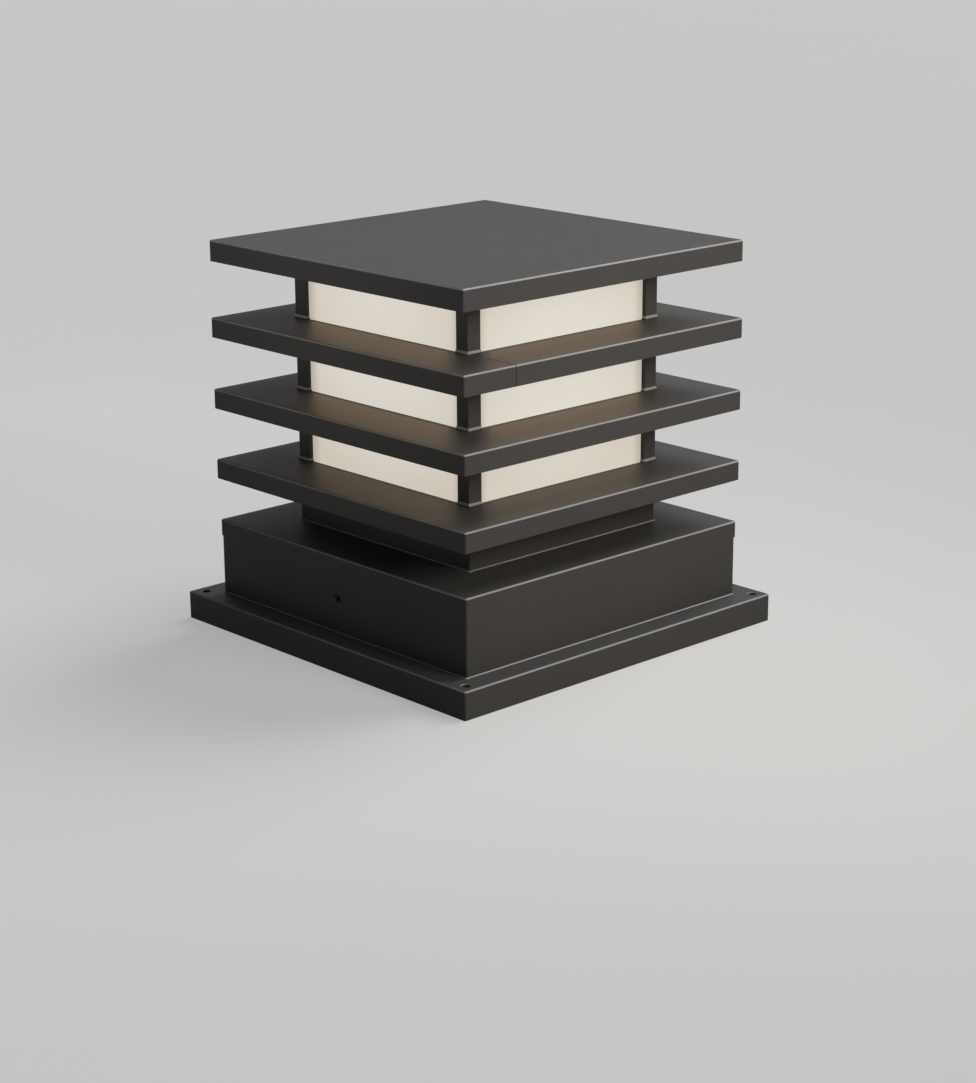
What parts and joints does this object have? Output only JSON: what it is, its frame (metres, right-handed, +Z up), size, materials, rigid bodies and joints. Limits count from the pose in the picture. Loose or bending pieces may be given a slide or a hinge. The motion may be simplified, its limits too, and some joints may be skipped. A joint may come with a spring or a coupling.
{
  "type": "pillar light",
  "caption": "Square louvred pillar light: opal panels glow between overhanging sheet-metal louvres on a box foot; the lantern lifts off its anchored plate.",
  "frame": {"origin": "centre of the underside of the foot plate, where it stands on the pillar", "axes": "+Z up the pillar, -Y out of the front wall with the clamp screw that shows, +X out of the right wall"},
  "size_m": [0.283, 0.283, 0.2635],
  "materials": {
    "coated_aluminium": "satin fine-texture powder coat, anthracite",
    "opal_acrylic": "opal acrylic, satin, lit from behind",
    "zinc_steel": "zinc plated",
    "black_steel": "black oxide",
    "natural_nylon": "moulded, satin",
    "black_nylon": "moulded, satin",
    "epdm_seal": "matt",
    "brass": "bright, drawn",
    "tinned_copper": "tinned",
    "earth_pvc": "green and yellow insulation",
    "silicone_lead": "white heat-proof insulation",
    "porcelain": "glazed",
    "lamp_cap_aluminium": "rolled thread",
    "lamp_insulator": "glossy",
    "lamp_housing_plastic": "moulded, satin",
    "lamp_opal": "opal, satin"
  },
  "bodies": {
    "foot": {"base_plate": "coated_aluminium", "front_bracket": "coated_aluminium", "rear_bracket": "coated_aluminium", "gland_body": "black_nylon", "gland_lock_nut": "black_nylon", "gland_seal": "epdm_seal", "gland_dome_nut": "black_nylon", "terminal_block": "natural_nylon", "terminal_barrels": "brass", "terminal_screws": "zinc_steel", "terminal_fixing_screws": "zinc_steel", "earth_stud": "zinc_steel", "earth_lug": "tinned_copper", "earth_nut": "zinc_steel", "earth_lead": "earth_pvc", "lamp_leads": "silicone_lead", "lamp_stand": "zinc_steel", "lamp_stand_screws": "zinc_steel", "lamp_stand_nuts": "zinc_steel", "holder_nipple": "zinc_steel", "holder_nut": "zinc_steel", "lampholder_body": "porcelain", "lampholder_shell": "brass", "lampholder_contact": "brass"},
    "lantern": {"base_cover": "coated_aluminium", "rear_wall": "coated_aluminium", "neck": "coated_aluminium", "louvre_lower": "coated_aluminium", "louvre_middle": "coated_aluminium", "louvre_upper": "coated_aluminium", "post_lower_front_left": "coated_aluminium", "post_lower_front_right": "coated_aluminium", "post_lower_rear_right": "coated_aluminium", "post_lower_rear_left": "coated_aluminium", "post_middle_front_left": "coated_aluminium", "post_middle_front_right": "coated_aluminium", "post_middle_rear_right": "coated_aluminium", "post_middle_rear_left": "coated_aluminium", "post_upper_front_left": "coated_aluminium", "post_upper_front_right": "coated_aluminium", "post_upper_rear_right": "coated_aluminium", "post_upper_rear_left": "coated_aluminium", "diffuser_front": "opal_acrylic", "diffuser_right": "opal_acrylic", "diffuser_rear": "opal_acrylic", "diffuser_left": "opal_acrylic", "top_cap": "coated_aluminium", "tie_rods": "zinc_steel", "tie_rod_nuts": "zinc_steel"},
    "front_screw": {"front_screw": "black_steel", "front_screw_ring": "natural_nylon"},
    "front_nut": {"front_clamp_nut": "zinc_steel"},
    "rear_screw": {"rear_screw": "black_steel", "rear_screw_ring": "natural_nylon"},
    "rear_nut": {"rear_clamp_nut": "zinc_steel"},
    "lamp": {"lamp_contact": "lamp_insulator", "lamp_cap": "lamp_cap_aluminium", "lamp_housing": "lamp_housing_plastic", "lamp_globe": "lamp_opal"}
  },
  "joints": [
    {"name": "lantern_lift", "type": "slide", "parent": "foot", "child": "lantern", "axis": [0, 0, 1], "range_m": [0, 0.24]},
    {"name": "front_screw_turn", "type": "hinge", "parent": "lantern", "child": "front_screw", "pos_m": [0, -0.1245, 0.042], "axis": [0, -1, 0], "range_deg": [0, 1080]},
    {"name": "front_nut_travel", "type": "slide", "parent": "lantern", "child": "front_nut", "axis": [0, 1, 0], "range_m": [0, 0.00209]},
    {"name": "rear_screw_turn", "type": "hinge", "parent": "lantern", "child": "rear_screw", "pos_m": [0, 0.1225, 0.042], "axis": [0, 1, 0], "range_deg": [0, 1080]},
    {"name": "rear_nut_travel", "type": "slide", "parent": "lantern", "child": "rear_nut", "axis": [0, -1, 0], "range_m": [0, 0.00209]},
    {"name": "lamp_unscrew", "type": "slide", "parent": "foot", "child": "lamp", "axis": [0, 0, 1], "range_m": [0, 0.03]}
  ],
  "couplings": [
    {"joint": "front_screw_turn", "follows": "front_nut_travel", "rad_per_m": 8976},
    {"joint": "rear_screw_turn", "follows": "rear_nut_travel", "rad_per_m": 8976}
  ]
}
